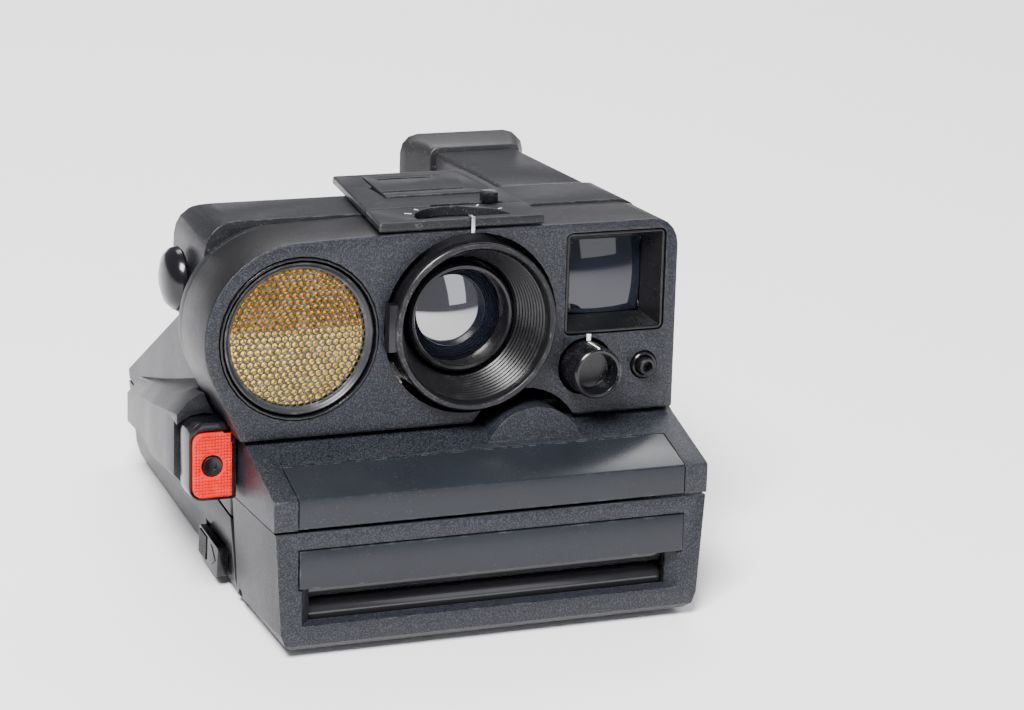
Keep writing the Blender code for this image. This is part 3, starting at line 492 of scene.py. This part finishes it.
# -------------------------------------------------------- red release button
bm = bmesh.new()
step = 0.78
u0, u1, w0, w1, rr = -67.95, -58.55, 31.7, 47.45, 2.3
nx, nz = int((u1 - u0) / step), int((w1 - w0) / step)
sx, sz = (u1 - u0) / nx, (w1 - w0) / nz
for i in range(nx):
    for j in range(nz):
        xa, za = u0 + i * sx, w0 + j * sz
        xm, zm = xa + sx / 2, za + sz / 2
        # rounded outer corners, the hole of the socket and the sonar bulge
        if xm < u0 + rr and zm < w0 + rr and math.hypot(xm - u0 - rr, zm - w0 - rr) > rr - 0.1:
            continue
        if xm < u0 + rr and zm > w1 - rr and math.hypot(xm - u0 - rr, zm - w1 + rr) > rr - 0.1:
            continue
        if math.hypot(xm + 63.3, zm - 39.4) < 3.25:
            continue
        if math.hypot(xm - SONAR[0], zm - SONAR[1]) < 25.6:
            continue
        base = [bm.verts.new(p) for p in ((xa, 27.03, za), (xa + sx, 27.03, za), (xa + sx, 27.03, za + sz),
                                          (xa, 27.03, za + sz))]
        f = 0.13
        top = [bm.verts.new(p) for p in ((xm - f, 26.68, zm - f), (xm + f, 26.68, zm - f), (xm + f, 26.68, zm + f),
                                         (xm - f, 26.68, zm + f))]
        bm.faces.new(top)
        for k in range(4):
            n = (k + 1) % 4
            bm.faces.new((base[k], base[n], top[n], top[k]))
piece("release_pyramids", bm, M["red_button"], "button", smooth=False)

# -------------------------------------------------------------- exposure knob
bm = bmesh.new()
n = 168
prof = [(13.2, 0.0), (13.5, 1.0), (21.4, 1.0), (21.8, 0.0)]
cols = []
for k in range(n):
    g = 2 * math.pi * k / n
    bump = 0.20 if k % 3 == 1 else 0.0
    col = []
    for y, s in prof:
        r = 6.28 + bump * s
        col.append(bm.verts.new((KNOB[0] + r * math.cos(g), y, KNOB[1] + r * math.sin(g))))
    for y in (21.8, 13.2):
        col.append(bm.verts.new((KNOB[0] + 6.0 * math.cos(g), y, KNOB[1] + 6.0 * math.sin(g))))
    cols.append(col)
for k in range(n):
    a, b = cols[k], cols[(k + 1) % n]
    for i in range(6):
        j = (i + 1) % 6
        bm.faces.new((a[i], a[j], b[j], b[i]))
piece("exposure_knob_ribs", bm, M["gloss_black"], "knob", smooth=False)
g = math.radians(96)
bm = bmesh.new()
box(KNOB[0] - 0.24, KNOB[0] + 0.24, 13.1, 19.4, KNOB[1] + 6.2, KNOB[1] + 6.56, bm)
piece("exposure_knob_line", bm, WHITE, "knob")
piece("exposure_mark", box(31.75, 32.85, 21.0, 21.28, 65.2, 66.9), WHITE, "camera", bevel=0.05)

# ----------------------------------------------------------- viewfinder glass
bm = bmesh.new()
nw = 12
pts = {}
for i in range(nw + 1):
    for j in range(nw + 1):
        u, v = -1 + 2 * i / nw, -1 + 2 * j / nw
        pts[i, j] = bm.verts.new((39.1 + 9.55 * u, 27.15 + 1.7 * (u * u + v * v) / 2, 80.0 + 9.45 * v))
for i in range(nw):
    for j in range(nw):
        bm.faces.new((pts[i, j], pts[i + 1, j], pts[i + 1, j + 1], pts[i, j + 1]))
# opaque window with painted shade, not see-through
piece("viewfinder_glass", bm, VIEWFINDER_PAINTED_DARK, "camera")

# -------------------------------------------------------------- latch details
bm = bmesh.new()
for i in range(7):
    y = 51.6 + i * 0.86
    box(-57.75, -57.3, y, y + 0.42, 3.7, 10.1, bm)
piece("latch_ribs", bm, M["gloss_black"], "latch", space=BASE, bevel=0.08)
bm = bmesh.new()
for sgn in (1, -1):
    a = [(43.9, 6.9), (47.3, 6.9 + sgn * 2.5), (48.4, 6.9 + sgn * 2.5), (45.0, 6.9)]
    prism(a, "x", -57.62, -57.3, bm)
piece("latch_arrow", bm, M["gloss_black"], "latch", space=BASE)

# ------------------------------------------------------------- roof markings
bm = bmesh.new()
for k, (deg, ln) in enumerate(((28, 1.2), (55, 1.8), (80, 1.2), (105, 1.8), (130, 1.2), (152, 1.8))):
    g = math.radians(deg)
    for r0, r1 in ((12.9, 12.9 + ln),):
        c, s = math.cos(g), math.sin(g)
        if 24.3 + r1 * s > 36.9:
            r1 = (36.9 - 24.3) / s
        if r1 < r0 + 0.3:
            continue
        px, py = -s * 0.13, c * 0.13
        prism([(-0.5 + r0 * c - px, 24.3 + r0 * s - py), (-0.5 + r1 * c - px, 24.3 + r1 * s - py),
               (-0.5 + r1 * c + px, 24.3 + r1 * s + py), (-0.5 + r0 * c + px, 24.3 + r0 * s + py)],
              "z", 97.9, 98.06, bm)
piece("distance_ticks", bm, WHITE, "camera")

# -------------------------------------------------------------------- stage
bm = bmesh.new()
n = 8
grid = [[bm.verts.new((-5.0 + 10.0 * i / n, -4.0 + 9.0 * j / n, 0.0)) for j in range(n + 1)] for i in range(n + 1)]
for i in range(n):
    for j in range(n):
        bm.faces.new((grid[i][j], grid[i + 1][j], grid[i + 1][j + 1], grid[i][j + 1]))
bmesh.ops.recalc_face_normals(bm, faces=bm.faces)
me = bpy.data.meshes.new("pale_floor")
bm.to_mesh(me)
bm.free()
me.shade_smooth()
floor_mat = material("mat_floor", (0.93, 0.915, 0.95), 0.8, drift=1.0, grain=200, bump=0.0, smudge=0.01)
me.materials.append(floor_mat)
floor = bpy.data.objects.new("pale_floor", me)
bpy.context.scene.collection.objects.link(floor)
floor.rotation_euler = (0, 0, math.radians(-23))

# -------------------------------------------------------------------- lights
world = bpy.data.worlds.new("studio")
bpy.context.scene.world = world
world.use_nodes = True
world.node_tree.nodes["Background"].inputs[0].default_value = (0.95, 0.94, 1.0, 1.0)
world.node_tree.nodes["Background"].inputs[1].default_value = 0.30


def area(name, loc, size, power, target=(0, 0, 0.05), col=(1, 1, 1)):
    d = bpy.data.lights.new(name, "AREA")
    d.shape = "RECTANGLE"
    d.size, d.size_y = size
    d.energy = power
    d.color = col
    o = bpy.data.objects.new(name, d)
    bpy.context.scene.collection.objects.link(o)
    o.location = loc
    o.rotation_mode = "QUATERNION"
    o.rotation_quaternion = (Vector(loc) - Vector(target)).to_track_quat("Z", "Y")
    return o


area("key", (-0.50, -0.62, 1.15), (0.50, 0.50), 56.0, col=(1.0, 0.99, 0.97))
area("back_right", (0.80, 0.45, 1.00), (0.5, 0.4), 3.5, col=(0.97, 0.97, 1.0))
area("front_fill", (0.45, -1.2, 0.55), (0.5, 0.8), 2.2, col=(0.97, 0.98, 1.0))
area("floor_wash", (0.35, 1.00, 1.3), (1.4, 0.7), 26.0, target=(0.35, 1.05, 0.0))

# -------------------------------------------------------------------- camera
rx, ry, rz = 0.255, 0.028, 0.396


def rot(c, s, plane):
    if plane == "z":
        return Matrix(((c, -s, 0), (s, c, 0), (0, 0, 1)))
    return Matrix(((1, 0, 0), (0, c, -s), (0, s, c)))


MR = (rot(math.cos(ry), math.sin(ry), "z") @ rot(math.cos(rx), math.sin(rx), "x")
      @ Matrix(((1, 0, 0), (0, 0, -1), (0, 1, 0))) @ rot(math.cos(rz), math.sin(rz), "z"))
where = -(MR.transposed() @ Vector((-4.566, 66.967, 781.182)))
local = Matrix((MR[0], -MR[1], -MR[2])).transposed().to_4x4()
local.translation = where * MM
cam_data = bpy.data.cameras.new("photo_angle")
cam_data.sensor_width = 36.0
cam_data.sensor_fit = "HORIZONTAL"
cam_data.lens = 3200.0 * 36.0 / 1024.0
cam_data.clip_start, cam_data.clip_end = 0.01, 50.0
cam = bpy.data.objects.new("photo_angle", cam_data)
bpy.context.scene.collection.objects.link(cam)
cam.matrix_world = FRONT @ local
bpy.context.scene.camera = cam

bpy.context.view_layer.update()
